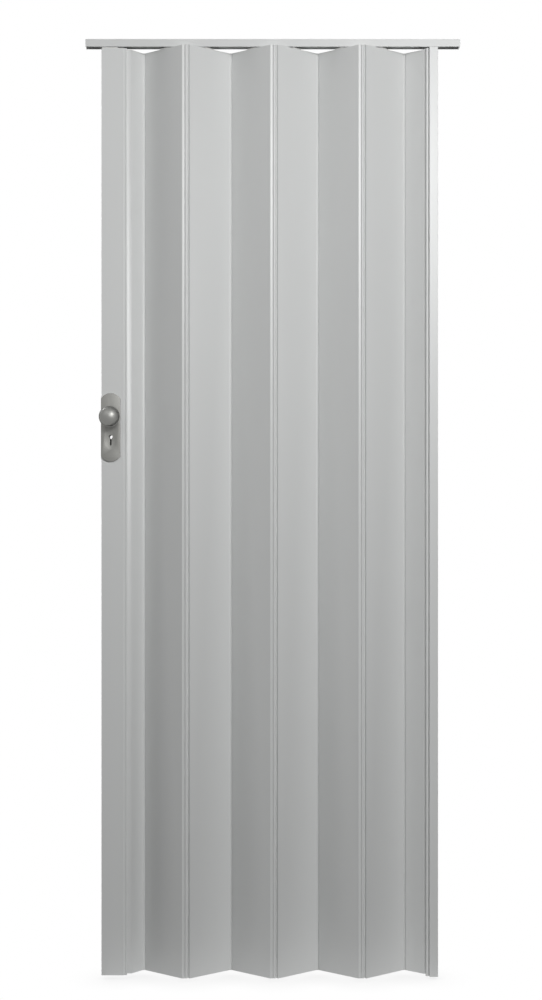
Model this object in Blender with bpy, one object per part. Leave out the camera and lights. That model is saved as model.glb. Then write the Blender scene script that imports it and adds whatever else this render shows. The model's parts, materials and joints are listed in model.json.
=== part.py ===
# Folding accordion door: hollow slats on full-height knuckle hinges, hung from a top track.
# Metres, +Z up. The origin is the middle of the track's top face; the door hangs below it.
# +X runs along the track towards the fixed jamb, and -Y is the side with the shown handle.
import bpy
import bmesh
import math
from mathutils import Matrix, Vector, geometry

# Clearances
SEAT_GAP = 0.0003
RUN_GAP = 0.0005

# Slats
HINGE_PITCH = 0.110
SLAT_THICK = 0.008
SLAT_WALL = 0.0012
SLAT_LENGTH = 2.015
SLAT_COUNT = 6
REST_FOLD = math.radians(30.0)
GLIDER_CELL = 0.024

# Knuckle hinge along each slat edge
BEAD_RADIUS = 0.0019
KNUCKLE_GAP = 0.00035
KNUCKLE_WALL = 0.00125
WEB_THICK = 0.0011
HINGE_SETBACK = 0.0042
NOSE_RADIUS = 0.0035
NOSE_SET = 0.0052
NOSE_ROUND = 0.0012
NOSE_SLOPE = math.radians(48.0)
NOSE_ROOT = 0.0029
NOSE_CLEAR = 0.00065
NOSE_TIP_THICK = 0.0005
NOSE_TIP_ANGLE = math.radians(102.0)
OPEN_FOLD = math.radians(24.5)
SHUT_FOLD = math.radians(80.0)
WEB_MARGIN = math.radians(22.0)
SLAT_NECK_ANGLE = math.radians(-35.0)
END_NECK_ANGLE = math.radians(-24.0)

# Track
TRACK_LENGTH = 0.815
TRACK_DEPTH = 0.018
TRACK_HEIGHT = 0.0165
TRACK_WALL = 0.0015
TRACK_SLOT = 0.0056
TRACK_SKIRT = 0.0030
TRACK_TO_SLAT = 0.0033

# Wall jamb
JAMB_PIVOT_X = 0.3364
JAMB_WIDTH = 0.0186
JAMB_DEPTH = 0.018
JAMB_WALL = 0.0015
FLOOR_CLEARANCE = 0.0040
JAMB_STANDOFF = 0.0041
CHANNEL_LEG = 0.011
CHANNEL_WALL = 0.0012

# Lead post
POST_BODY_WIDTH = 0.0363
POST_FACE_WIDTH = 0.0478
POST_DEPTH = 0.020
POST_WALL = 0.0015
POST_TO_PIVOT = 0.0056
POST_LIP_THICK = 0.0025
POST_SEAL_REACH = 0.0075
POST_SEAL_THICK = 0.00175
POST_BEAD_RADIUS = 0.0018

# Flat strip on the half slat beside the post, measured from the post's hinge at rest
STRIP_END = 0.0224
STRIP_BEHIND = 0.0026

# Gliders
GLIDER_HEAD_RADIUS = 0.0055
GLIDER_HEAD_HEIGHT = 0.0030
GLIDER_STEM_RADIUS = 0.0020
GLIDER_PLUG_LENGTH = 0.018
GLIDER_PLUG_DEPTH = 0.014
CARRIAGE_PIN_SPACING = 0.018
CARRIAGE_PLUG_DEPTH = 0.020

# Handle set
KNOB_HEIGHT = 0.8226
BACKSET = 0.0202
PLATE_WIDTH = 0.042
REAR_PLATE_WIDTH = 0.032
PLATE_THICK = 0.0030
PLATE_END_RADIUS = 0.0245
PLATE_EDGE_ROUND = 0.0009
KEYHOLE_BELOW_KNOB = 0.0420
KEYHOLE_RADIUS = 0.0040
KEYHOLE_SLOT_WIDTH = 0.0036
KEYHOLE_SLOT_DROP = 0.0175
DISH_HALF_WIDTH = 0.0135
DISH_STRETCH = 1.45
DISH_DEPTH = 0.0019
PLATE_SCREW_FROM_CASE = 0.0140
PLATE_SCREW_FROM_END = 0.0145
PLATE_BOSS_RADIUS = 0.0040
PLATE_BOSS_LENGTH = 0.0060
KNOB_RADIUS = 0.0228
REAR_KNOB_RADIUS = 0.0200
KNOB_REACH = 0.040
KNOB_COLLAR_HEIGHT = 0.0064
KNOB_WAIST_RADIUS = 0.0067
KNOB_WAIST_HEIGHT = 0.0080
KNOB_FLARE_HEIGHT = 0.0216
KNOB_RIM_HEIGHT = 0.0232
KNOB_UNDERCUT = 0.0016
KNOB_RIM = 0.0022
KNOB_LEDGE = 0.0007
KNOB_NECK_RADIUS = 0.0080
SPINDLE_SIDE = 0.0070
SPINDLE_GRIP = 0.020

# Lock
FACEPLATE_THICK = 0.0015
FACEPLATE_WIDTH = 0.016
FACEPLATE_LENGTH = 0.140
CASE_THICK = 0.010
CASE_HEIGHT = 0.092
CASE_TOP_ABOVE_KNOB = 0.0241
CASE_WALL = 0.0014
WARD_THICK = 0.0012
LATCH_THICK = 0.0060
LATCH_BASE_ABOVE_KNOB = 0.0065
LATCH_HEIGHT = 0.0157
LATCH_THROW = 0.009
LATCH_NOSE_RISE = 0.0040
KNOB_TURN = math.radians(60.0)
CAM_HUB_RADIUS = 0.0060
CAM_TIP_RADIUS = 0.0022
CAM_NECK_WIDTH = 0.0024
STOP_WIDTH = 0.0035
STOP_THICK = 0.0030
STOP_LIFT = 0.0030
STOP_FROM_EDGE = 0.0081

# Fixings
SCREW_RADIUS = 0.0018
SCREW_HEAD_RADIUS = 0.0036
SCREW_HEAD_HEIGHT = 0.0018
SCREW_HEAD_EDGE = 0.0007
SCREW_CROWN_RADIUS = 0.0022
COUNTERSINK_RADIUS = 0.0031
COUNTERSINK_DEPTH = 0.0012
FACEPLATE_SCREW_LENGTH = 0.009
TRACK_SCREWS = 4
WALL_SCREWS = 3
SCREW_INSET = 0.060
WALL_SCREW_INSET = 0.150

ROUND_STEPS = 32
SMALL_STEPS = 14
FLARE_STEPS = 7
DOME_STEPS = 9
DISH_SPOKES = 24
DISH_RINGS = 36

# Values worked out from the sizes above
KNUCKLE_INNER = BEAD_RADIUS + KNUCKLE_GAP
KNUCKLE_OUTER = KNUCKLE_INNER + KNUCKLE_WALL
BODY_TILT = math.asin(SLAT_THICK / HINGE_PITCH)
BODY_SPAN = HINGE_PITCH * math.cos(BODY_TILT)
REST_BODY = REST_FOLD + BODY_TILT
PIVOT_STEP_X = HINGE_PITCH * math.cos(REST_FOLD)
PIVOT_Y = HINGE_PITCH * math.sin(REST_FOLD) / 2.0
SLAT_TOP = -TRACK_HEIGHT - TRACK_TO_SLAT
LIP_BOTTOM = TRACK_SKIRT - TRACK_HEIGHT
LIP_TOP = LIP_BOTTOM + TRACK_WALL
SLAT_BOTTOM = SLAT_TOP - SLAT_LENGTH
POST_PIVOT_X = JAMB_PIVOT_X - (SLAT_COUNT + 1) * PIVOT_STEP_X
POST_RIGHT = POST_PIVOT_X - POST_TO_PIVOT
POST_LEFT = POST_RIGHT - POST_BODY_WIDTH
POST_FRONT = -POST_DEPTH / 2.0
LIP_RIGHT = POST_LEFT + POST_FACE_WIDTH
KNOB_X = POST_LEFT + BACKSET
KNOB_Z = -KNOB_HEIGHT
KEY_Z = KNOB_Z - KEYHOLE_BELOW_KNOB
PLATE_BACK = POST_DEPTH / 2.0 + SEAT_GAP
PLATE_FACE = PLATE_BACK + PLATE_THICK
JAMB_LEFT = JAMB_PIVOT_X + JAMB_STANDOFF
JAMB_RIGHT = JAMB_LEFT + JAMB_WIDTH
CASE_TOP = KNOB_Z + CASE_TOP_ABOVE_KNOB
CASE_BOTTOM = CASE_TOP - CASE_HEIGHT
PLATE_Z = (CASE_TOP + CASE_BOTTOM) / 2.0
PLATE_SCREW_SPACING = CASE_HEIGHT + 2.0 * PLATE_SCREW_FROM_CASE
PLATE_LENGTH = PLATE_SCREW_SPACING + 2.0 * PLATE_SCREW_FROM_END
POCKET_HALF = LATCH_THICK / 2.0 + SEAT_GAP
LATCH_BOTTOM = KNOB_Z + LATCH_BASE_ABOVE_KNOB
LATCH_TOP = LATCH_BOTTOM + LATCH_HEIGHT
CAM_SWING = KNOB_TURN / 2.0
CAM_REACH = LATCH_THROW / 2.0 / math.sin(CAM_SWING)
CAM_NOTCH_HALF = CAM_TIP_RADIUS + RUN_GAP
DISH_RADIUS = (DISH_HALF_WIDTH ** 2 + DISH_DEPTH ** 2) / (2.0 * DISH_DEPTH)
DISH_CENTRE_DROP = (KEYHOLE_SLOT_DROP + KEYHOLE_SLOT_WIDTH / 2.0 - KEYHOLE_RADIUS) / 2.0


def clear_scene():
    for obj in list(bpy.data.objects):
        bpy.data.objects.remove(obj, do_unlink=True)


def make_material(name, colour, roughness, metallic):
    material = bpy.data.materials.new(name)
    material.use_nodes = True
    shader = material.node_tree.nodes["Principled BSDF"]
    shader.inputs["Base Color"].default_value = (*colour, 1.0)
    shader.inputs["Roughness"].default_value = roughness
    shader.inputs["Metallic"].default_value = metallic
    material.diffuse_color = (*colour, 1.0)
    return material


def arc(centre, radius, start, end, steps):
    """Points from angle start to angle end, both included, in radians."""
    points = []
    for index in range(steps + 1):
        angle = start + (end - start) * index / steps
        points.append((centre[0] + radius * math.cos(angle), centre[1] + radius * math.sin(angle)))
    return points


def box_loop(x0, y0, x1, y1):
    return [(x0, y0), (x1, y0), (x1, y1), (x0, y1)]


def mirrored(loop):
    """The same outline with its second coordinate turned over."""
    return [(x, -y) for x, y in loop]


def prism_mesh(loops, low, high):
    """A solid between two levels: loops[0] is the outline and the rest are holes."""
    mesh = bmesh.new()
    rings = []
    for loop in loops:
        base = [mesh.verts.new((x, y, low)) for x, y in loop]
        top = [mesh.verts.new((x, y, high)) for x, y in loop]
        rings.append((base, top))
        for index in range(len(loop)):
            after = (index + 1) % len(loop)
            mesh.faces.new((base[index], base[after], top[after], top[index]))
    flat = [[Vector((x, y, 0.0)) for x, y in loop] for loop in loops]
    base_all = [vert for base, top in rings for vert in base]
    top_all = [vert for base, top in rings for vert in top]
    for triangle in geometry.tessellate_polygon(flat):
        mesh.faces.new([base_all[index] for index in triangle])
        mesh.faces.new([top_all[index] for index in reversed(triangle)])
    bmesh.ops.recalc_face_normals(mesh, faces=mesh.faces)
    return mesh


def turned_mesh(profile, steps):
    """A solid of revolution about +Z from (radius, height) points, first and last on the axis."""
    mesh = bmesh.new()
    rings = []
    for radius, height in profile:
        if radius == 0.0:
            rings.append([mesh.verts.new((0.0, 0.0, height))])
            continue
        ring = []
        for index in range(steps):
            angle = 2.0 * math.pi * index / steps
            ring.append(mesh.verts.new((radius * math.cos(angle), radius * math.sin(angle), height)))
        rings.append(ring)
    for lower, upper in zip(rings, rings[1:]):
        for index in range(steps):
            after = (index + 1) % steps
            if len(lower) == 1:
                mesh.faces.new((lower[0], upper[index], upper[after]))
            elif len(upper) == 1:
                mesh.faces.new((lower[index], lower[after], upper[0]))
            else:
                mesh.faces.new((lower[index], lower[after], upper[after], upper[index]))
    bmesh.ops.recalc_face_normals(mesh, faces=mesh.faces)
    return mesh


def add_object(name, mesh, material, place=None):
    data = bpy.data.meshes.new(name)
    mesh.to_mesh(data)
    mesh.free()
    obj = bpy.data.objects.new(name, data)
    bpy.context.scene.collection.objects.link(obj)
    if material:
        data.materials.append(material)
    if place is not None:
        obj.matrix_world = place
    return obj


def smooth(obj, degrees=35.0):
    obj.data.shade_smooth()
    obj.data.set_sharp_from_angle(angle=math.radians(degrees))


def cut(obj, mesh, place=None):
    """Take a shape away from an object."""
    cutter = add_object(obj.name + "_cutter", mesh, None, place)
    cutter.hide_render = True
    cutter.display_type = "WIRE"
    modifier = obj.modifiers.new("Cut", "BOOLEAN")
    modifier.operation = "DIFFERENCE"
    modifier.solver = "EXACT"
    modifier.object = cutter


def cut_together(obj, shapes):
    """Take several shapes that lie apart away from an object in one cut."""
    together = bmesh.new()
    for mesh, place in shapes:
        mesh.transform(place)
        data = bpy.data.meshes.new(obj.name + "_shape")
        mesh.to_mesh(data)
        mesh.free()
        together.from_mesh(data)
        bpy.data.meshes.remove(data)
    cut(obj, together)


def join(obj, mesh, place=None):
    """Fuse a shape to an object."""
    tool = add_object(obj.name + "_joined", mesh, None, place)
    tool.hide_render = True
    tool.display_type = "WIRE"
    modifier = obj.modifiers.new("Join", "BOOLEAN")
    modifier.operation = "UNION"
    modifier.solver = "EXACT"
    modifier.object = tool


def along_y(x, y, z):
    """Turns a shape built along +Z so that its top points at -Y, and moves it."""
    return Matrix.Translation((x, y, z)) @ Matrix.Rotation(math.radians(90.0), 4, "X")


def along_minus_x(x, y, z):
    """Turns a shape built along +Z so that its top points at -X, and moves it."""
    return Matrix.Translation((x, y, z)) @ Matrix.Rotation(math.radians(-90.0), 4, "Y")


def spot(x, y, z, turn=0.0):
    return Matrix.Translation((x, y, z)) @ Matrix.Rotation(turn, 4, "Z")


def socket_path(centre, near_end, far_end, neck_low):
    """The open C of a knuckle, walked with its material on the left.

    It runs down the inner arc from near_end to far_end, clockwise, and back on the outer arc
    as far as neck_low, where the neck to the slat leaves.
    """
    inner = arc(centre, KNUCKLE_INNER, near_end, far_end, 14)
    outer = arc(centre, KNUCKLE_OUTER, far_end, neck_low, 14)
    return inner + outer


def bead_path(centre, web_direction):
    """The round bead of a knuckle, walked anticlockwise from one side of its web to the other."""
    half = math.asin(WEB_THICK / 2.0 / BEAD_RADIUS)
    return arc(centre, BEAD_RADIUS, web_direction + half, web_direction + 2.0 * math.pi - half, 14)


def folded_socket(centre):
    """The C on a slat edge whose partner folds shut on the side above the slat's +v face."""
    folded = math.pi - 2.0 * (SHUT_FOLD + BODY_TILT) - WEB_MARGIN
    opened = math.pi - 2.0 * (OPEN_FOLD + BODY_TILT) + WEB_MARGIN
    return socket_path(centre, folded, opened - 2.0 * math.pi, SLAT_NECK_ANGLE)


def nose_path(end_u, top):
    """The slanted nose on a slat's male edge, which leans over the knuckle at the origin.

    It runs up the end, out to the tip, which clears the turning knuckle, and up the flat strip.
    """
    clear = KNUCKLE_OUTER + NOSE_CLEAR
    across, up = math.cos(NOSE_TIP_ANGLE), math.sin(NOSE_TIP_ANGLE)
    tip = [(clear * across, clear * up),
           ((clear + NOSE_TIP_THICK) * across, (clear + NOSE_TIP_THICK) * up)]
    corner = arc((-NOSE_SET, top - NOSE_ROUND), NOSE_ROUND, NOSE_SLOPE, math.pi / 2.0, 4)
    return [(end_u, NOSE_ROOT)] + tip + corner


def cell_loops(start, end, low, high):
    """The hollow cells between the ribs, with the glider's cell in the middle of the slat."""
    centre = -BODY_SPAN / 2.0
    rib = SLAT_WALL / 2.0
    first_rib = centre - GLIDER_CELL / 2.0 - rib
    last_rib = centre + GLIDER_CELL / 2.0 + rib
    edges = [-BODY_SPAN + HINGE_SETBACK + rib]
    edges += [(edges[0] + first_rib) / 2.0, first_rib, last_rib]
    edges += [(last_rib - HINGE_SETBACK - rib) / 2.0, -HINGE_SETBACK - rib]
    loops = []
    for left, right in zip(edges, edges[1:]):
        left = max(left + rib, start)
        right = min(right - rib, end)
        if right - left > 2.0 * SLAT_WALL:
            loops.append(box_loop(left, low, right, high))
    return loops


def slat_loops():
    """A full slat: C socket at its left end, bead at its right end, which is the origin.

    +v is the rear face. The left pivot lies on the rear face and the right one on the front
    face, so two neighbours can fold flat against each other.
    """
    rear = SLAT_THICK
    left_pivot = (-BODY_SPAN, rear)
    left_end = -BODY_SPAN + HINGE_SETBACK
    right_end = -HINGE_SETBACK
    socket = folded_socket(left_pivot)
    web = WEB_THICK / 2.0
    bead = bead_path((0.0, 0.0), math.pi)
    outline = [(left_end, rear), (left_end, socket[0][1])] + socket
    outline += [(left_end, socket[-1][1]), (left_end, 0.0)]
    outline += [(right_end, 0.0)] + bead + [(right_end, 2.0 * web)]
    outline += nose_path(right_end, rear)
    inside = cell_loops(left_end + SLAT_WALL, right_end - SLAT_WALL, SLAT_WALL, rear - SLAT_WALL)
    return [outline] + inside


def end_socket(centre):
    """The C of the post and jamb hinges, whose partner stays on one side of it."""
    shut = math.pi - SHUT_FOLD - BODY_TILT - WEB_MARGIN
    opened = math.pi - OPEN_FOLD - BODY_TILT + WEB_MARGIN
    neck = END_NECK_ANGLE
    inner = arc(centre, KNUCKLE_INNER, shut, opened - 2.0 * math.pi, 18)
    outer = arc(centre, KNUCKLE_OUTER, opened - 2.0 * math.pi, neck, 16)
    upper = arc(centre, KNUCKLE_OUTER, -neck, shut, 4)
    return upper + inner + outer


def wedge_corners(toe):
    """The front wedge of the left half slat: where its strip starts, the strip's end, the toe.

    The strip lies parallel to the post's face when the door is at rest.
    """
    slope = math.tan(REST_BODY)
    across = STRIP_END * math.cos(REST_BODY) + STRIP_BEHIND * math.sin(REST_BODY)
    behind = STRIP_BEHIND * math.cos(REST_BODY) - STRIP_END * math.sin(REST_BODY)
    corner = (across - BODY_SPAN / 2.0, behind + SLAT_THICK / 2.0)
    start = (corner[0] + corner[1] / slope, 0.0)
    return start, corner, (toe, 0.0)


def wedge_hollow(start, corner, toe):
    """The hollow of the wedge, one wall inside its two sloping sides and open to no face."""
    base = toe[0] - start[0]
    left = SLAT_WALL / math.sin(math.atan2(-corner[1], corner[0] - start[0]))
    right = SLAT_WALL / math.sin(math.atan2(-corner[1], toe[0] - corner[0]))
    share = (base - left - right) / base
    first = start[0] + left
    apex = (first + share * (corner[0] - start[0]), share * corner[1])
    return [(first, 0.0), apex, (toe[0] - right, 0.0)]


def left_half_loops():
    """The half slat beside the lead post, with its right pivot at the origin."""
    rear = SLAT_THICK
    pivot = (-BODY_SPAN / 2.0, rear / 2.0)
    left_end = pivot[0] + HINGE_SETBACK
    right_end = -HINGE_SETBACK
    web = WEB_THICK / 2.0
    socket = end_socket(pivot)
    bead = bead_path((0.0, 0.0), math.pi)
    wedge = wedge_corners(right_end - SLAT_WALL)
    outline = [(left_end, rear), (left_end, socket[0][1])] + socket
    outline += [(left_end, socket[-1][1]), (left_end, 0.0)] + list(wedge)
    outline += [(right_end, 0.0)] + bead + [(right_end, 2.0 * web)]
    outline += nose_path(right_end, rear)
    inside = cell_loops(left_end + SLAT_WALL, right_end - SLAT_WALL, SLAT_WALL, rear - SLAT_WALL)
    return [outline] + inside + [wedge_hollow(*wedge)]


def right_half_loops():
    """The half slat beside the jamb, with its bead at the origin, on the slat's middle plane."""
    half = SLAT_THICK / 2.0
    pivot = (-BODY_SPAN / 2.0, half)
    left_end = pivot[0] + HINGE_SETBACK
    right_end = -HINGE_SETBACK
    web = WEB_THICK / 2.0
    socket = folded_socket(pivot)
    bead = bead_path((0.0, 0.0), math.pi)
    outline = [(left_end, half), (left_end, socket[0][1])] + socket
    outline += [(left_end, socket[-1][1]), (left_end, -half), (right_end - NOSE_RADIUS, -half)]
    outline += arc((right_end - NOSE_RADIUS, NOSE_RADIUS - half), NOSE_RADIUS,
                   math.radians(-90.0), 0.0, 5)[1:]
    outline += [(right_end, -web)] + bead + [(right_end, web), (right_end, half)]
    middle = (left_end + right_end) / 2.0
    rib = SLAT_WALL / 2.0
    low = SLAT_WALL - half
    inside = [box_loop(left_end + SLAT_WALL, low, middle - rib, -low),
              box_loop(middle + rib, low, right_end - SLAT_WALL, -low)]
    return [outline] + inside


def pivot_place(index):
    """Pivot 0 is the jamb's; the rest run leftwards, valleys at the rear and ridges in front."""
    if index == 0:
        return JAMB_PIVOT_X, 0.0
    if index == SLAT_COUNT + 2:
        return POST_PIVOT_X, 0.0
    x = JAMB_PIVOT_X - (index - 0.5) * PIVOT_STEP_X
    return x, PIVOT_Y if index % 2 else -PIVOT_Y


def build_slats(plastic):
    for number in range(SLAT_COUNT, 0, -1):
        index = SLAT_COUNT + 1 - number
        x, y = pivot_place(index)
        loops = slat_loops()
        turn = REST_BODY
        if y < 0.0:
            loops = [mirrored(loop) for loop in loops]
            turn = -REST_BODY
        slat = add_object("slat_%d" % number, prism_mesh(loops, -SLAT_LENGTH, 0.0), plastic,
                          spot(x, y, SLAT_TOP, turn))
        smooth(slat)
    loops = [mirrored(loop) for loop in right_half_loops()]
    right = add_object("half_slat_right", prism_mesh(loops, -SLAT_LENGTH, 0.0), plastic,
                       spot(JAMB_PIVOT_X, 0.0, SLAT_TOP, -REST_BODY))
    smooth(right)
    x, y = pivot_place(SLAT_COUNT + 1)
    left = add_object("half_slat_left", prism_mesh(left_half_loops(), -SLAT_LENGTH, 0.0), plastic,
                      spot(x, y, SLAT_TOP, REST_BODY))
    smooth(left)


def track_loops():
    """The rail's section: a channel with two lips that the gliders run on, above its skirts."""
    half = TRACK_DEPTH / 2.0
    slot = TRACK_SLOT / 2.0
    inside = half - TRACK_WALL
    right = [(half, 0.0), (half, -TRACK_HEIGHT), (inside, -TRACK_HEIGHT), (inside, LIP_BOTTOM),
             (slot, LIP_BOTTOM), (slot, LIP_TOP), (inside, LIP_TOP), (inside, -TRACK_WALL)]
    left = [(-x, y) for x, y in right]
    return [right + left[::-1]]


def spread(count, length, inset):
    """Evenly spread places along a length centred on zero, the outer ones set in from the ends."""
    first = inset - length / 2.0
    step = (length - 2.0 * inset) / (count - 1)
    return [first + step * index for index in range(count)]


def screw_mesh(length):
    """A screw whose head rests on z = 0 and whose shank runs down."""
    profile = [(0.0, SCREW_HEAD_HEIGHT), (SCREW_CROWN_RADIUS, SCREW_HEAD_HEIGHT),
               (SCREW_HEAD_RADIUS, SCREW_HEAD_EDGE), (SCREW_HEAD_RADIUS, 0.0),
               (SCREW_RADIUS, 0.0), (SCREW_RADIUS, SCREW_RADIUS - length), (0.0, -length)]
    return turned_mesh(profile, SMALL_STEPS)


def countersunk_screw(length):
    """A flat-headed screw whose head is level with z = 0."""
    return turned_mesh([(0.0, 0.0), (COUNTERSINK_RADIUS, 0.0), (SCREW_RADIUS, -COUNTERSINK_DEPTH),
                        (SCREW_RADIUS, -length), (0.0, -length)], SMALL_STEPS)


def countersunk_hole(length):
    """The hole for that screw, one seat gap larger, as a cutter that stands above z = 0."""
    head = COUNTERSINK_RADIUS + SEAT_GAP
    shank = SCREW_RADIUS + SEAT_GAP
    return turned_mesh([(0.0, COUNTERSINK_DEPTH), (head, COUNTERSINK_DEPTH), (head, 0.0),
                        (shank, -COUNTERSINK_DEPTH), (shank, -length), (0.0, -length)], SMALL_STEPS)


def hole_mesh(radius, low, high):
    return prism_mesh([arc((0.0, 0.0), radius, 0.0, 2.0 * math.pi, ROUND_STEPS)[:-1]], low, high)


def build_track(metal, steel):
    """A C-section rail, open below, lying along X."""
    place = Matrix(((0.0, 0.0, 1.0, 0.0), (1.0, 0.0, 0.0, 0.0), (0.0, 1.0, 0.0, 0.0),
                    (0.0, 0.0, 0.0, 1.0)))
    half = TRACK_LENGTH / 2.0
    rail = add_object("track_rail", prism_mesh(track_loops(), -half, half), metal, place)
    flip = Matrix.Rotation(math.pi, 4, "X")
    for index, x in enumerate(spread(TRACK_SCREWS, TRACK_LENGTH, SCREW_INSET)):
        cut(rail, hole_mesh(SCREW_RADIUS + SEAT_GAP, -2.0 * TRACK_WALL, TRACK_WALL), spot(x, 0.0, 0.0))
        seat = Matrix.Translation((x, 0.0, -TRACK_WALL - SEAT_GAP)) @ flip
        screw = add_object("track_screw_%d" % (index + 1), screw_mesh(TRACK_WALL), steel, seat)
        smooth(screw)


def jamb_loops():
    """The jamb's C-section, open to the wall, with the fixed hinge socket on its left side."""
    half = JAMB_DEPTH / 2.0
    inside_left = JAMB_LEFT + JAMB_WALL
    socket = end_socket((JAMB_PIVOT_X, 0.0))
    outline = [(JAMB_LEFT, socket[0][1])] + socket + [(JAMB_LEFT, socket[-1][1])]
    outline += [(JAMB_LEFT, -half), (JAMB_RIGHT, -half), (JAMB_RIGHT, JAMB_WALL - half),
                (inside_left, JAMB_WALL - half), (inside_left, half - JAMB_WALL),
                (JAMB_RIGHT, half - JAMB_WALL), (JAMB_RIGHT, half), (JAMB_LEFT, half)]
    return [outline]


def channel_loops():
    """The U-channel screwed to the wall, inside the jamb's open side."""
    half = JAMB_DEPTH / 2.0 - JAMB_WALL - SEAT_GAP
    left = JAMB_RIGHT - CHANNEL_LEG
    web = JAMB_RIGHT - CHANNEL_WALL
    return [[(left, -half), (JAMB_RIGHT, -half), (JAMB_RIGHT, half), (left, half),
             (left, half - CHANNEL_WALL), (web, half - CHANNEL_WALL),
             (web, CHANNEL_WALL - half), (left, CHANNEL_WALL - half)]]


def build_jamb(plastic, metal, steel):
    top = -TRACK_HEIGHT - SEAT_GAP
    bottom = SLAT_BOTTOM - FLOOR_CLEARANCE
    jamb = add_object("jamb_profile", prism_mesh(jamb_loops(), bottom, top), plastic)
    smooth(jamb)
    channel = add_object("wall_channel", prism_mesh(channel_loops(), bottom, top), metal)
    middle = (top + bottom) / 2.0
    for index, z in enumerate(spread(WALL_SCREWS, top - bottom, WALL_SCREW_INSET)):
        level = middle - z
        hole = hole_mesh(SCREW_RADIUS + SEAT_GAP, -2.0 * CHANNEL_WALL, 2.0 * CHANNEL_WALL)
        cut(channel, hole, along_minus_x(JAMB_RIGHT - CHANNEL_WALL, 0.0, level))
        seat = along_minus_x(JAMB_RIGHT - CHANNEL_WALL - SEAT_GAP, 0.0, level)
        screw = add_object("wall_screw_%d" % (index + 1), screw_mesh(CHANNEL_WALL), steel, seat)
        smooth(screw)


def pin_profile(base, head_bottom):
    """A mushroom pin: stem up from base, and a round head from head_bottom."""
    top = head_bottom + GLIDER_HEAD_HEIGHT
    return [(0.0, base), (GLIDER_STEM_RADIUS, base), (GLIDER_STEM_RADIUS, head_bottom),
            (GLIDER_HEAD_RADIUS, head_bottom), (GLIDER_HEAD_RADIUS, top - GLIDER_HEAD_HEIGHT / 2.0),
            (GLIDER_HEAD_RADIUS - GLIDER_HEAD_HEIGHT / 2.0, top), (0.0, top)]


def build_gliders(nylon):
    """One glider at the middle of each full slat, and a carriage with two pins on the post."""
    head_bottom = LIP_TOP + SEAT_GAP
    collar_low = SLAT_TOP + SEAT_GAP
    collar_high = collar_low + (-TRACK_HEIGHT - SLAT_TOP) / 2.0
    plug_half = SLAT_THICK / 2.0 - SLAT_WALL - SEAT_GAP
    plug = box_loop(-GLIDER_PLUG_LENGTH / 2.0, -plug_half, GLIDER_PLUG_LENGTH / 2.0, plug_half)
    collar_half = SLAT_THICK / 2.0
    collar_end = GLIDER_PLUG_LENGTH / 2.0 + SLAT_WALL
    collar = box_loop(-collar_end, -collar_half, collar_end, collar_half)
    for number in range(SLAT_COUNT, 0, -1):
        x, y = pivot_place(SLAT_COUNT + 1 - number)
        turn = REST_BODY if y > 0.0 else -REST_BODY
        place = spot(x - PIVOT_STEP_X / 2.0, 0.0, 0.0, turn)
        glider = add_object("glider_%d" % number,
                            prism_mesh([plug], SLAT_TOP - GLIDER_PLUG_DEPTH, collar_low + SEAT_GAP),
                            nylon, place)
        join(glider, prism_mesh([collar], collar_low, collar_high), place)
        join(glider, turned_mesh(pin_profile(collar_low, head_bottom), SMALL_STEPS), place)
        smooth(glider)
    inner = POST_WALL + SEAT_GAP
    plug = box_loop(POST_LEFT + inner, POST_FRONT + inner, POST_RIGHT - inner, -POST_FRONT - inner)
    lid = box_loop(POST_LEFT + POST_WALL / 2.0, POST_FRONT + POST_WALL / 2.0,
                   POST_RIGHT - POST_WALL / 2.0, -POST_FRONT - POST_WALL / 2.0)
    carriage = add_object("post_carriage",
                          prism_mesh([plug], SLAT_TOP - CARRIAGE_PLUG_DEPTH, collar_low + SEAT_GAP),
                          nylon)
    join(carriage, prism_mesh([lid], collar_low, collar_high))
    middle = (POST_LEFT + POST_RIGHT) / 2.0
    for side in (-0.5, 0.5):
        join(carriage, turned_mesh(pin_profile(collar_low, head_bottom), SMALL_STEPS),
             spot(middle + side * CARRIAGE_PIN_SPACING, 0.0, 0.0))
    smooth(carriage)


def post_loops():
    """The lead post: a hollow box, a front lip over the hinge, and a sealing bead behind it."""
    back = -POST_FRONT
    web = WEB_THICK / 2.0
    lip_back = POST_FRONT + POST_LIP_THICK
    seal_thick = POST_SEAL_THICK
    seal_front = lip_back - seal_thick / 2.0
    seal_back = seal_front + seal_thick
    bead_centre = (LIP_RIGHT + POST_SEAL_REACH - POST_BEAD_RADIUS, (seal_front + seal_back) / 2.0)
    spread_angle = math.asin(seal_thick / 2.0 / POST_BEAD_RADIUS)
    bead = arc(bead_centre, POST_BEAD_RADIUS, spread_angle - math.pi, math.pi - spread_angle, 12)
    hinge = bead_path((POST_PIVOT_X, 0.0), math.pi)
    outline = [(POST_LEFT, POST_FRONT), (LIP_RIGHT, POST_FRONT), (LIP_RIGHT, seal_front)] + bead
    outline += [(LIP_RIGHT, seal_back), (LIP_RIGHT - seal_thick, seal_back),
                (POST_RIGHT, lip_back + seal_thick), (POST_RIGHT, -2.0 * web)]
    outline += hinge + [(POST_RIGHT, 2.0 * web), (POST_RIGHT, back), (POST_LEFT, back)]
    hollow = box_loop(POST_LEFT + POST_WALL, POST_FRONT + POST_WALL,
                      POST_RIGHT - POST_WALL, back - POST_WALL)
    return [outline, hollow]


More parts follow.
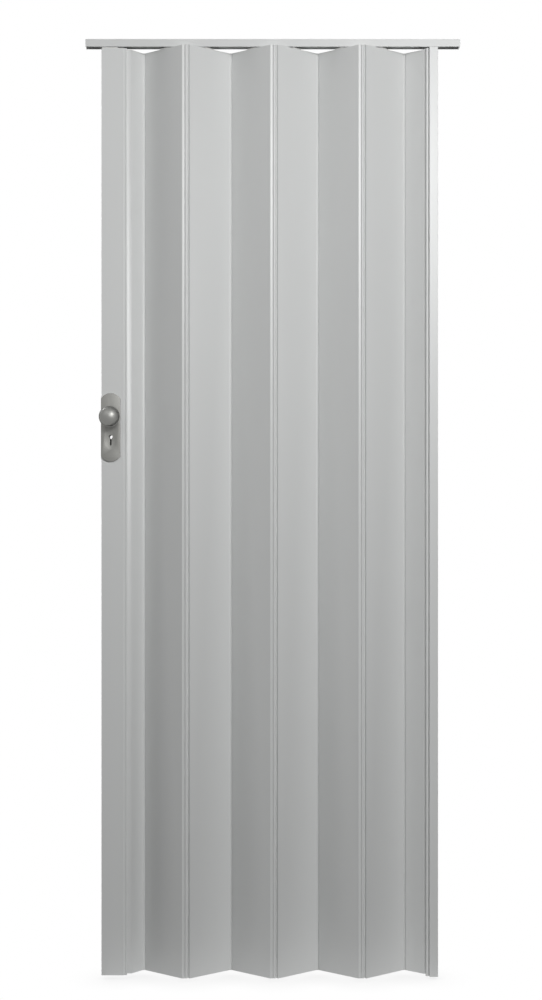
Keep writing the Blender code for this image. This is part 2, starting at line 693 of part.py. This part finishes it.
def build_post(plastic):
    post = add_object("lead_post", prism_mesh(post_loops(), SLAT_BOTTOM, SLAT_TOP), plastic)
    case_half = CASE_THICK / 2.0 + SEAT_GAP
    mortise = box_loop(POST_LEFT - POST_WALL, -case_half, POST_LEFT + 2.0 * POST_WALL, case_half)
    reach = POST_DEPTH
    shapes = [(prism_mesh([mortise], CASE_BOTTOM - SEAT_GAP, CASE_TOP + SEAT_GAP), Matrix()),
              (hole_mesh(KNOB_NECK_RADIUS + RUN_GAP, -reach, reach), along_y(KNOB_X, 0.0, KNOB_Z)),
              (keyhole_mesh(SEAT_GAP, reach), along_y(KNOB_X, 0.0, KEY_Z))]
    for z in plate_screw_levels():
        shapes.append((hole_mesh(PLATE_BOSS_RADIUS + SEAT_GAP, -reach, reach), along_y(KNOB_X, 0.0, z)))
    for z in faceplate_screw_levels():
        shapes.append((hole_mesh(SCREW_RADIUS + SEAT_GAP, -2.0 * POST_WALL, 2.0 * POST_WALL),
                       along_minus_x(POST_LEFT, 0.0, z)))
    cut_together(post, shapes)
    smooth(post)


def plate_screw_levels():
    return (PLATE_Z + PLATE_SCREW_SPACING / 2.0, PLATE_Z - PLATE_SCREW_SPACING / 2.0)


def faceplate_screw_levels():
    middle = (CASE_TOP + CASE_BOTTOM) / 2.0
    reach = FACEPLATE_LENGTH / 2.0 - FACEPLATE_WIDTH / 2.0
    return (middle + reach, middle - reach)


def keyhole_mesh(grow, reach):
    """A warded keyhole: a round hole with a narrow slot below it, as a cutter along Z."""
    radius = KEYHOLE_RADIUS + grow
    half = KEYHOLE_SLOT_WIDTH / 2.0 + grow
    side = math.asin(half / radius)
    start = -math.pi / 2.0 + side
    outline = arc((0.0, 0.0), radius, start, start + 2.0 * math.pi - 2.0 * side, 20)
    outline += arc((0.0, -KEYHOLE_SLOT_DROP), half, -math.pi, 0.0, 6)
    return prism_mesh([outline], -reach, reach)


def plate_outline(width):
    """A long plate with shallow arched ends, centred on the origin."""
    half = width / 2.0
    sweep = math.asin(half / PLATE_END_RADIUS)
    centre = PLATE_LENGTH / 2.0 - PLATE_END_RADIUS
    top = arc((0.0, centre), PLATE_END_RADIUS, math.pi / 2.0 - sweep, math.pi / 2.0 + sweep, 16)
    bottom = arc((0.0, -centre), PLATE_END_RADIUS, -math.pi / 2.0 - sweep,
                 -math.pi / 2.0 + sweep, 16)
    return top + bottom


def dish_mesh():
    """An egg-shaped hollow, as a cutter whose lowest point is at the origin."""
    mesh = bmesh.new()
    bmesh.ops.create_uvsphere(mesh, u_segments=DISH_SPOKES, v_segments=DISH_RINGS, radius=DISH_RADIUS)
    bmesh.ops.scale(mesh, vec=(1.0, DISH_STRETCH, 1.0), verts=mesh.verts)
    bmesh.ops.translate(mesh, vec=(0.0, 0.0, DISH_RADIUS), verts=mesh.verts)
    return mesh


def build_plate(name, metal, front):
    """A handle plate seated on the post. The front one has blind bosses for the screws."""
    side = 1.0 if front else -1.0
    place = Matrix.Translation((KNOB_X, -side * PLATE_BACK, PLATE_Z))
    place = place @ Matrix.Rotation(side * math.radians(90.0), 4, "X")
    width = PLATE_WIDTH if front else REAR_PLATE_WIDTH
    plate = add_object(name, prism_mesh([plate_outline(width)], 0.0, PLATE_THICK), metal, place)
    round_edges(plate, PLATE_EDGE_ROUND)
    cut(plate, hole_mesh(KNOB_NECK_RADIUS + RUN_GAP, -PLATE_THICK, 2.0 * PLATE_THICK),
        along_y(KNOB_X, -side * PLATE_BACK, KNOB_Z))
    dish_place = Matrix.Translation((KNOB_X, -side * (PLATE_FACE - DISH_DEPTH),
                                     KEY_Z - DISH_CENTRE_DROP))
    cut(plate, dish_mesh(), dish_place @ Matrix.Rotation(side * math.radians(90.0), 4, "X"))
    cut(plate, keyhole_mesh(0.0, 2.0 * PLATE_THICK), along_y(KNOB_X, -side * PLATE_BACK, KEY_Z))
    if front:
        for z in plate_screw_levels():
            here = place @ Matrix.Translation((0.0, z - PLATE_Z, 0.0))
            join(plate, hole_mesh(PLATE_BOSS_RADIUS, -PLATE_BOSS_LENGTH, PLATE_THICK / 2.0), here)
            cut(plate, hole_mesh(SCREW_RADIUS + SEAT_GAP, -2.0 * PLATE_BOSS_LENGTH,
                                 PLATE_THICK / 4.0), here)
    else:
        for z in plate_screw_levels():
            seat = Matrix.Translation((KNOB_X, PLATE_FACE, z))
            cut(plate, countersunk_hole(2.0 * PLATE_THICK),
                seat @ Matrix.Rotation(math.radians(-90.0), 4, "X"))
    smooth(plate)


def round_edges(obj, width):
    bevel = obj.modifiers.new("Edge", "BEVEL")
    bevel.width = width
    bevel.segments = 2
    bevel.limit_method = "ANGLE"
    bevel.angle_limit = math.radians(50.0)


def knob_profile(radius):
    """Half section of a knob, from its foot inside the plate out to the crown of its dome."""
    face = PLATE_FACE
    rim = face + KNOB_RIM_HEIGHT
    groove = rim + KNOB_RIM / 2.0
    crown = face + KNOB_REACH
    neck = KNOB_NECK_RADIUS
    points = [(0.0, PLATE_BACK), (neck, PLATE_BACK), (neck, face + KNOB_COLLAR_HEIGHT)]
    flare = radius - KNOB_UNDERCUT - KNOB_WAIST_RADIUS
    rise = KNOB_FLARE_HEIGHT - KNOB_WAIST_HEIGHT
    for index in range(FLARE_STEPS + 1):
        share = index / FLARE_STEPS
        points.append((KNOB_WAIST_RADIUS + flare * share * share,
                       face + KNOB_WAIST_HEIGHT + rise * share))
    points += [(radius, rim), (radius, rim + KNOB_RIM), (radius - KNOB_LEDGE, rim + KNOB_RIM),
               (radius - KNOB_LEDGE, groove)]
    dome = arc((0.0, 0.0), 1.0, 0.0, math.pi / 2.0, DOME_STEPS)[:-1]
    wide = radius - 2.0 * KNOB_LEDGE
    points += [(wide * x, groove + (crown - groove) * y) for x, y in dome]
    points.append((0.0, crown))
    return points


def build_knobs(metal, steel):
    """Two knobs on one square spindle, with the cam that drives the latch between them."""
    socket = SPINDLE_SIDE / 2.0 + SEAT_GAP
    for name, side, radius in (("knob_front", 1.0, KNOB_RADIUS),
                               ("knob_rear", -1.0, REAR_KNOB_RADIUS)):
        place = Matrix.Translation((KNOB_X, 0.0, KNOB_Z))
        place = place @ Matrix.Rotation(side * math.radians(90.0), 4, "X")
        knob = add_object(name, turned_mesh(knob_profile(radius), ROUND_STEPS), metal, place)
        depth = PLATE_BACK + SPINDLE_GRIP + SEAT_GAP
        cut(knob, prism_mesh([box_loop(-socket, -socket, socket, socket)], 0.0, depth), place)
        smooth(knob)
    half = SPINDLE_SIDE / 2.0
    reach = PLATE_BACK + SPINDLE_GRIP
    place = along_y(KNOB_X, 0.0, KNOB_Z)
    add_object("spindle", prism_mesh([box_loop(-half, -half, half, half)], -reach, reach), steel,
               place)
    neck = CAM_NECK_WIDTH / 2.0
    leave = math.asin(neck / CAM_HUB_RADIUS)
    arrive = math.asin(neck / CAM_TIP_RADIUS)
    outline = arc((0.0, 0.0), CAM_HUB_RADIUS, math.pi / 2.0 + leave,
                  math.pi * 2.5 - leave, 24)
    outline += arc((0.0, CAM_REACH), CAM_TIP_RADIUS, arrive - math.pi / 2.0,
                   math.pi * 1.5 - arrive, 12)
    hole = box_loop(-socket, -socket, socket, socket)
    thick = LATCH_THICK / 2.0
    turn = Matrix.Rotation(-CAM_SWING, 4, "Z")
    cam = add_object("latch_cam", prism_mesh([outline], -thick, thick), steel, place @ turn)
    cut(cam, prism_mesh([hole], -2.0 * thick, 2.0 * thick), place)
    smooth(cam)


def build_latch(steel):
    """The sliding latch: a hooked nose, a notch for the cam and two notches for the stop."""
    left = POST_LEFT - FACEPLATE_THICK
    right = POST_RIGHT - POST_WALL - SEAT_GAP - CASE_WALL - SEAT_GAP
    cam_x = KNOB_X + LATCH_THROW / 2.0
    notch_top = KNOB_Z + CAM_REACH + CAM_TIP_RADIUS + RUN_GAP
    stop_x = POST_LEFT + STOP_FROM_EDGE
    stop_half = STOP_WIDTH / 2.0 + RUN_GAP
    stop_top = LATCH_BOTTOM + STOP_LIFT
    outline = [(left, LATCH_BOTTOM + LATCH_NOSE_RISE)]
    for centre in (stop_x, stop_x + LATCH_THROW):
        outline += [(centre - stop_half, LATCH_BOTTOM), (centre - stop_half, stop_top),
                    (centre + stop_half, stop_top), (centre + stop_half, LATCH_BOTTOM)]
    outline += [(cam_x - CAM_NOTCH_HALF, LATCH_BOTTOM), (cam_x - CAM_NOTCH_HALF, notch_top),
                (cam_x + CAM_NOTCH_HALF, notch_top), (cam_x + CAM_NOTCH_HALF, LATCH_BOTTOM),
                (right, LATCH_BOTTOM), (right, LATCH_TOP), (left, LATCH_TOP)]
    half = LATCH_THICK / 2.0
    place = along_y(0.0, 0.0, 0.0)
    add_object("latch_bolt", prism_mesh([outline], -half, half), steel, place)
    stop_low = KEY_Z + KEYHOLE_RADIUS + STOP_LIFT
    foot_high = stop_low + STOP_WIDTH
    bar_right = stop_x + STOP_WIDTH / 2.0
    foot_right = KNOB_X + KEYHOLE_RADIUS
    stop = [(stop_x - STOP_WIDTH / 2.0, stop_low), (foot_right, stop_low), (foot_right, foot_high),
            (bar_right, foot_high), (bar_right, LATCH_BOTTOM - RUN_GAP),
            (stop_x - STOP_WIDTH / 2.0, LATCH_BOTTOM - RUN_GAP)]
    half = STOP_THICK / 2.0
    add_object("deadlock_slide", prism_mesh([stop], -half, half), steel, place)


def build_lock(steel):
    """The lock case in the post's mortise with its fixed ward, and the faceplate on the edge."""
    left = POST_LEFT
    right = POST_RIGHT - POST_WALL - SEAT_GAP
    half = CASE_THICK / 2.0
    case = add_object("lock_case", prism_mesh([box_loop(left, -half, right, half)],
                                              CASE_BOTTOM, CASE_TOP), steel)
    pocket = box_loop(left - CASE_WALL, -POCKET_HALF, right - CASE_WALL, POCKET_HALF)
    cut(case, prism_mesh([pocket], CASE_BOTTOM + CASE_WALL, LATCH_TOP + SEAT_GAP))
    cut(case, hole_mesh(SPINDLE_SIDE / math.sqrt(2.0) + RUN_GAP, -CASE_THICK, CASE_THICK),
        along_y(KNOB_X, 0.0, KNOB_Z))
    cut(case, keyhole_mesh(0.0, CASE_THICK), along_y(KNOB_X, 0.0, KEY_Z))
    ward = box_loop(left + CASE_WALL, -WARD_THICK / 2.0, right - CASE_WALL / 2.0, WARD_THICK / 2.0)
    join(case, prism_mesh([ward], CASE_BOTTOM + CASE_WALL / 2.0,
                          KEY_Z - KEYHOLE_RADIUS - RUN_GAP))
    middle = (CASE_TOP + CASE_BOTTOM) / 2.0
    wide = FACEPLATE_WIDTH / 2.0
    straight = FACEPLATE_LENGTH / 2.0 - wide
    outline = arc((straight, 0.0), wide, -math.pi / 2.0, math.pi / 2.0, 10)
    outline += arc((-straight, 0.0), wide, math.pi / 2.0, math.pi * 1.5, 10)
    place = along_minus_x(POST_LEFT - SEAT_GAP, 0.0, middle)
    plate = add_object("lock_faceplate",
                       prism_mesh([outline], 0.0, FACEPLATE_THICK - SEAT_GAP), steel, place)
    slot_half = LATCH_THICK / 2.0 + SEAT_GAP
    slot = box_loop(POST_LEFT - 2.0 * FACEPLATE_THICK, -slot_half, POST_LEFT, slot_half)
    cut(plate, prism_mesh([slot], LATCH_BOTTOM - SEAT_GAP, LATCH_TOP + SEAT_GAP))
    for index, z in enumerate(faceplate_screw_levels()):
        seat = along_minus_x(POST_LEFT - FACEPLATE_THICK, 0.0, z)
        cut(plate, countersunk_hole(2.0 * FACEPLATE_THICK), seat)
        screw = add_object("faceplate_screw_%d" % (index + 1),
                           countersunk_screw(FACEPLATE_SCREW_LENGTH), steel, seat)
        smooth(screw)
    length = PLATE_FACE + PLATE_BACK
    for index, z in enumerate(plate_screw_levels()):
        seat = Matrix.Translation((KNOB_X, PLATE_FACE, z))
        seat = seat @ Matrix.Rotation(math.radians(-90.0), 4, "X")
        screw = add_object("plate_screw_%d" % (index + 1), countersunk_screw(length), steel, seat)
        smooth(screw)


def main():
    clear_scene()
    plastic = make_material("silver_grey_plastic", (0.62, 0.63, 0.64), 0.42, 0.0)
    metal = make_material("satin_metal", (0.52, 0.52, 0.50), 0.38, 0.9)
    rail = make_material("rail_grey", (0.66, 0.67, 0.66), 0.45, 0.0)
    steel = make_material("plated_steel", (0.55, 0.55, 0.56), 0.35, 0.9)
    nylon = make_material("white_nylon", (0.80, 0.80, 0.78), 0.50, 0.0)
    build_track(rail, steel)
    build_jamb(plastic, steel, steel)
    build_slats(plastic)
    build_gliders(nylon)
    build_post(plastic)
    build_lock(steel)
    build_latch(steel)
    build_knobs(metal, steel)
    build_plate("front_plate", metal, True)
    build_plate("rear_plate", metal, False)


main()
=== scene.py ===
# The looks of the folding door: finishes, softened edges, floor, light and camera.
import bpy
import bmesh
import json
import math
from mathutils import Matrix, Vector

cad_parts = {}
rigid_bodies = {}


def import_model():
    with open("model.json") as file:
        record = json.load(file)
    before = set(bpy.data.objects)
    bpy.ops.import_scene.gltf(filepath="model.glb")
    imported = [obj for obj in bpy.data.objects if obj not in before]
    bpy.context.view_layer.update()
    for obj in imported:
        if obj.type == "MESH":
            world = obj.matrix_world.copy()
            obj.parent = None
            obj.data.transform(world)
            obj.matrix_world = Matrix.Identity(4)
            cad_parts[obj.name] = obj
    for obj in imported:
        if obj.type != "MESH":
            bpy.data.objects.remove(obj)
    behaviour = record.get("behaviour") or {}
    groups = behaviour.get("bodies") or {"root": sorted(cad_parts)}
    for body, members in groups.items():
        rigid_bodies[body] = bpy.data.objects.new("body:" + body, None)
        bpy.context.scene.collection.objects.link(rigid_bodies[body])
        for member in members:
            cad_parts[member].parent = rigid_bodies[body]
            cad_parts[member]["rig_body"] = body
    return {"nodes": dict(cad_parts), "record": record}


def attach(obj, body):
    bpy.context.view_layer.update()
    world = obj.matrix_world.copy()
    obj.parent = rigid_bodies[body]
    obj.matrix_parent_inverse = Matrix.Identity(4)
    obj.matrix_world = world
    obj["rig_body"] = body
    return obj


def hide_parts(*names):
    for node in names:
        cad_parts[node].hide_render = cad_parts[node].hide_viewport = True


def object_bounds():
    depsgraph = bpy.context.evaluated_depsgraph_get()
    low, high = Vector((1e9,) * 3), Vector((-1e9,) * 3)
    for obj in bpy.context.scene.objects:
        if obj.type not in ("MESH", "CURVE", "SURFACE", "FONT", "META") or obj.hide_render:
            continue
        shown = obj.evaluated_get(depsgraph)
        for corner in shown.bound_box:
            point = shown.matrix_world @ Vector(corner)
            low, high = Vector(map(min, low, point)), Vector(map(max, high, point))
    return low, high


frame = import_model()
cad_low, cad_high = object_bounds()

# Camera, from the perspective of the folds in the photograph. The view covers
# LONG_SIDE_VIEW metres of the door's plane along the picture's long side.
CAMERA_X = -0.004
CAMERA_DISTANCE = 3.05
CAMERA_HEIGHT = -1.0531
LONG_SIDE_VIEW = 2.18
SENSOR = 36.0
HORIZON_SHIFT = 0.0235
CLIP_END = 60.0

# Lamps: the key to the right of the camera, a weak fill at the left, one behind for the
# unseen side, and a strip on the floor. Powers are in watts and sizes in metres.
WORLD_LEVEL = 0.01
KEY_POWER = 79.0
KEY_PLACE = (0.90, -3.1, 0.42)
KEY_SIZE = 1.1
FILL_POWER = 9.0
FILL_PLACE = (-1.9, -2.2, 1.0)
FILL_SIZE = 1.8
BACK_POWER = 90.0
BACK_PLACE = (-1.5, 3.0, 0.5)
BACK_SIZE = 1.6
FOOT_POWER = 0.10
FOOT_Y = -0.045
FOOT_LENGTH = 0.74
FOOT_WIDTH = 0.13
FOOT_LIFT = -0.003

# Floor: white as seen, with a painted contact shadow near the door where ambient occlusion dims
# that white; dark to the lamps' light
FLOOR_DROP = 0.006
FLOOR_SIZE = 14.0
FLOOR_TONE = 0.06
FLOOR_ROUGHNESS = 0.9
PAINTED_SHADOW_REACH = 0.08
PAINTED_SHADOW_LEVEL = 0.80
PAINTED_SHADOW_SAMPLES = 16

# Edge softening
SHARP_ANGLE = math.radians(35.0)
FLAT_ANGLE = math.radians(0.5)
MERGE_DISTANCE = 0.00002
EDGE_SEGMENTS = 2

# Surfaces. Grain varies the roughness between the two offsets and gives the bump, whose
# strength and distance are given; cloud varies the colour between the two factors of shades.
# A noise is its scale, its stretch along the axes and its detail.
EVEN = (1.0, 1.0, 1.0)
SURFACES = {
    "extruded_plastic": {  # faint draw lines along the length, and a very slight mottle
        "metallic": 0.0, "grain": (1.0, (900.0, 900.0, 1.2), 2.0), "offsets": (-0.05, 0.05),
        "bump": (0.12, 0.00006), "cloud": (6.0, (1.0, 1.0, 0.35), 4.0), "shades": (0.975, 1.02)},
    "satin_metal": {  # fine blasted metal
        "metallic": 1.0, "grain": (2600.0, EVEN, 2.0), "offsets": (-0.04, 0.06),
        "bump": (0.10, 0.00005), "cloud": (60.0, EVEN, 3.0), "shades": (0.93, 1.05)},
    "moulded_nylon": {  # one even colour
        "metallic": 0.0, "grain": (900.0, EVEN, 3.0), "offsets": (-0.06, 0.06),
        "bump": (0.15, 0.00008), "cloud": None, "shades": None}}
NOISE_LOW = 0.3
NOISE_HIGH = 0.7

# Finishes: surface, colour and roughness
FINISHES = {
    "slat_plastic": ("extruded_plastic", (0.70, 0.71, 0.705), 0.37),
    "rail_plastic": ("extruded_plastic", (0.68, 0.69, 0.685), 0.40),
    "satin_nickel": ("satin_metal", (0.20, 0.20, 0.19), 0.56),
    "satin_nickel_knob": ("satin_metal", (0.22, 0.22, 0.21), 0.44),
    # Dark steel for the lock case and spindle. Its darkness also stands in for the shade seen
    # through the keyhole slot, a painted shade.
    "blackened_steel_and_keyhole_shade": ("satin_metal", (0.08, 0.08, 0.075), 0.5),
    "plated_steel": ("satin_metal", (0.55, 0.55, 0.56), 0.34),
    "white_nylon": ("moulded_nylon", (0.78, 0.78, 0.76), 0.5)}

# Each record slot's finish and edge width, and the nodes with a finish of their own
SLOT_LOOKS = {
    "slats": ("slat_plastic", 0.0003), "rail": ("rail_plastic", 0.0003),
    "handle": ("satin_nickel", 0.0004), "steel": ("plated_steel", 0.0002),
    "glider": ("white_nylon", 0.0003)}
OWN_FINISHES = {
    "knob_front": "satin_nickel_knob", "knob_rear": "satin_nickel_knob",
    # The lock case seen through the keyhole takes the dark steel, which is partly a painted shade
    # for the slot.
    "lock_case": "blackened_steel_and_keyhole_shade", "spindle": "blackened_steel_and_keyhole_shade"}


def look_at(obj, target):
    direction = Vector(target) - obj.location
    obj.rotation_euler = direction.to_track_quat("-Z", "Y").to_euler()


def make_camera():
    data = bpy.data.cameras.new("camera")
    data.sensor_width = SENSOR
    data.lens = SENSOR * CAMERA_DISTANCE / LONG_SIDE_VIEW
    data.shift_y = HORIZON_SHIFT
    data.clip_end = CLIP_END
    camera = bpy.data.objects.new("camera", data)
    camera.location = (CAMERA_X, -CAMERA_DISTANCE, CAMERA_HEIGHT)
    camera.rotation_euler = (math.radians(90.0), 0.0, 0.0)
    bpy.context.scene.collection.objects.link(camera)
    bpy.context.scene.camera = camera


def make_lamp(name, place, target, size, power):
    data = bpy.data.lights.new(name, "AREA")
    data.shape = "DISK"
    data.size = size
    data.energy = power
    lamp = bpy.data.objects.new(name, data)
    lamp.location = place
    bpy.context.scene.collection.objects.link(lamp)
    look_at(lamp, target)
    return lamp


def make_foot_light():
    """A faint strip just under the door's foot, for the light that the floor throws up."""
    place = (0.0, FOOT_Y, cad_low.z + FOOT_LIFT)
    strip = make_lamp("foot", place, (0.0, FOOT_Y, 0.0), FOOT_LENGTH, FOOT_POWER)
    strip.data.shape = "RECTANGLE"
    strip.data.size_y = FOOT_WIDTH
    strip.rotation_euler = (math.pi, 0.0, 0.0)  # straight up, its length along the track
    strip.visible_camera = False
    strip.visible_glossy = False


def seen_switch(tree, plain, seen, output_name):
    """Shows one shader to camera, glossy and transmission rays, and another to all the rest."""
    nodes, links = tree.nodes, tree.links
    path = nodes.new("ShaderNodeLightPath")
    seen_rays = path.outputs["Is Camera Ray"]
    for ray in ("Is Glossy Ray", "Is Transmission Ray"):
        either = nodes.new("ShaderNodeMath")
        either.operation = "MAXIMUM"
        links.new(seen_rays, either.inputs[0])
        links.new(path.outputs[ray], either.inputs[1])
        seen_rays = either.outputs[0]
    mix = nodes.new("ShaderNodeMixShader")
    links.new(seen_rays, mix.inputs[0])
    links.new(plain.outputs[0], mix.inputs[1])
    links.new(seen.outputs[0], mix.inputs[2])
    links.new(mix.outputs[0], nodes[output_name].inputs["Surface"])


def make_world():
    world = bpy.data.worlds.new("studio")
    bpy.context.scene.world = world
    world.use_nodes = True
    tree = world.node_tree
    plain = tree.nodes["Background"]
    plain.inputs["Color"].default_value = (1.0, 1.0, 1.0, 1.0)
    plain.inputs["Strength"].default_value = WORLD_LEVEL
    white = tree.nodes.new("ShaderNodeBackground")
    white.inputs["Color"].default_value = (1.0, 1.0, 1.0, 1.0)
    white.inputs["Strength"].default_value = 1.0
    seen_switch(tree, plain, white, "World Output")


def make_floor():
    """A white floor under the door, with the door's soft contact shadow painted into that white
    by ambient occlusion.
    """
    mesh = bmesh.new()
    bmesh.ops.create_grid(mesh, x_segments=1, y_segments=1, size=FLOOR_SIZE / 2.0)
    data = bpy.data.meshes.new("floor")
    mesh.to_mesh(data)
    mesh.free()
    floor = bpy.data.objects.new("floor", data)
    floor.location = (0.0, 0.0, cad_low.z - FLOOR_DROP)
    bpy.context.scene.collection.objects.link(floor)
    material = bpy.data.materials.new("floor_white_painted_shadow")
    material.use_nodes = True
    tree = material.node_tree
    shader = tree.nodes["Principled BSDF"]
    shader.inputs["Base Color"].default_value = (FLOOR_TONE, FLOOR_TONE, FLOOR_TONE, 1.0)
    shader.inputs["Roughness"].default_value = FLOOR_ROUGHNESS
    # Painted contact shadow: ambient occlusion, not the lamps, dims the floor's white near the
    # door.
    shade = tree.nodes.new("ShaderNodeAmbientOcclusion")
    shade.samples = PAINTED_SHADOW_SAMPLES
    shade.inputs["Distance"].default_value = PAINTED_SHADOW_REACH
    painted_shadow = tree.nodes.new("ShaderNodeMapRange")
    painted_shadow.inputs["To Min"].default_value = PAINTED_SHADOW_LEVEL
    painted_shadow.inputs["To Max"].default_value = 1.0
    tree.links.new(shade.outputs["AO"], painted_shadow.inputs["Value"])
    white = tree.nodes.new("ShaderNodeEmission")
    tree.links.new(painted_shadow.outputs["Result"], white.inputs["Strength"])
    seen_switch(tree, shader, white, "Material Output")
    data.materials.append(material)


def add_noise(tree, scale, stretch, detail):
    """Noise in object space, stretched along the axes by the given scales."""
    nodes, links = tree.nodes, tree.links
    place = nodes.new("ShaderNodeTexCoord")
    mapping = nodes.new("ShaderNodeMapping")
    mapping.inputs["Scale"].default_value = stretch
    noise = nodes.new("ShaderNodeTexNoise")
    noise.inputs["Scale"].default_value = scale
    noise.inputs["Detail"].default_value = detail
    links.new(place.outputs["Object"], mapping.inputs["Vector"])
    links.new(mapping.outputs["Vector"], noise.inputs["Vector"])
    return noise.outputs["Fac"]


def spread_value(tree, source, low, high):
    """Maps the middle of the noise's values onto low to high."""
    node = tree.nodes.new("ShaderNodeMapRange")
    node.inputs["From Min"].default_value = NOISE_LOW
    node.inputs["From Max"].default_value = NOISE_HIGH
    node.inputs["To Min"].default_value = low
    node.inputs["To Max"].default_value = high
    tree.links.new(source, node.inputs["Value"])
    return node.outputs["Result"]


def tint(tree, source, first, second):
    """Mixes two colours by a 0 to 1 value."""
    node = tree.nodes.new("ShaderNodeMix")
    node.data_type = "RGBA"
    node.inputs["A"].default_value = (*first, 1.0)
    node.inputs["B"].default_value = (*second, 1.0)
    tree.links.new(source, node.inputs["Factor"])
    return node.outputs["Result"]


def add_bump(tree, shader, source, strength, distance):
    node = tree.nodes.new("ShaderNodeBump")
    node.inputs["Strength"].default_value = strength
    node.inputs["Distance"].default_value = distance
    tree.links.new(source, node.inputs["Height"])
    tree.links.new(node.outputs["Normal"], shader.inputs["Normal"])


def make_finish(name):
    """A material whose grain is in its roughness and bump, and whose cloud is in its colour."""
    kind, colour, roughness = FINISHES[name]
    surface = SURFACES[kind]
    material = bpy.data.materials.new(name)
    material.use_nodes = True
    tree = material.node_tree
    shader = tree.nodes["Principled BSDF"]
    shader.inputs["Base Color"].default_value = (*colour, 1.0)
    shader.inputs["Roughness"].default_value = roughness
    shader.inputs["Metallic"].default_value = surface["metallic"]
    grain = add_noise(tree, *surface["grain"])
    if surface["cloud"]:
        cloud = add_noise(tree, *surface["cloud"])
        darker, lighter = ([channel * shade for channel in colour] for shade in surface["shades"])
        tree.links.new(tint(tree, cloud, darker, lighter), shader.inputs["Base Color"])
    low, high = (roughness + offset for offset in surface["offsets"])
    tree.links.new(spread_value(tree, grain, low, high), shader.inputs["Roughness"])
    add_bump(tree, shader, grain, *surface["bump"])
    return material


def softened(node, material, width):
    """A smooth-shaded copy of a CAD node with its hard edges slightly rounded."""
    source = frame["nodes"][node]
    data = source.data.copy()
    data.name = node + "_soft"
    data.materials.clear()
    data.materials.append(material)
    mesh = bmesh.new()
    mesh.from_mesh(data)
    bmesh.ops.remove_doubles(mesh, verts=mesh.verts, dist=MERGE_DISTANCE)
    bmesh.ops.dissolve_limit(mesh, angle_limit=FLAT_ANGLE, verts=mesh.verts, edges=mesh.edges)
    mesh.to_mesh(data)
    mesh.free()
    data.shade_smooth()
    data.set_sharp_from_angle(angle=SHARP_ANGLE)
    piece = bpy.data.objects.new(node + "_soft", data)
    bpy.context.scene.collection.objects.link(piece)
    bevel = piece.modifiers.new("edge", "BEVEL")
    bevel.width = width
    bevel.segments = EDGE_SEGMENTS
    bevel.limit_method = "ANGLE"
    bevel.angle_limit = SHARP_ANGLE
    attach(piece, source["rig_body"])
    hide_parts(node)


def dress_all():
    materials = {name: make_finish(name) for name in FINISHES}
    for entry in frame["record"]["subparts"]:
        name = entry["node"]
        slot = entry["material_slot"]
        finish, width = SLOT_LOOKS[slot]
        softened(name, materials[OWN_FINISHES.get(name, finish)], width)


make_camera()
make_world()
make_floor()
middle = (cad_low + cad_high) / 2.0
make_lamp("key", KEY_PLACE, middle, KEY_SIZE, KEY_POWER)
make_lamp("fill", FILL_PLACE, middle, FILL_SIZE, FILL_POWER)
make_lamp("back", BACK_PLACE, middle, BACK_SIZE, BACK_POWER)
make_foot_light()
dress_all()
bpy.context.scene.view_settings.view_transform = "Standard"
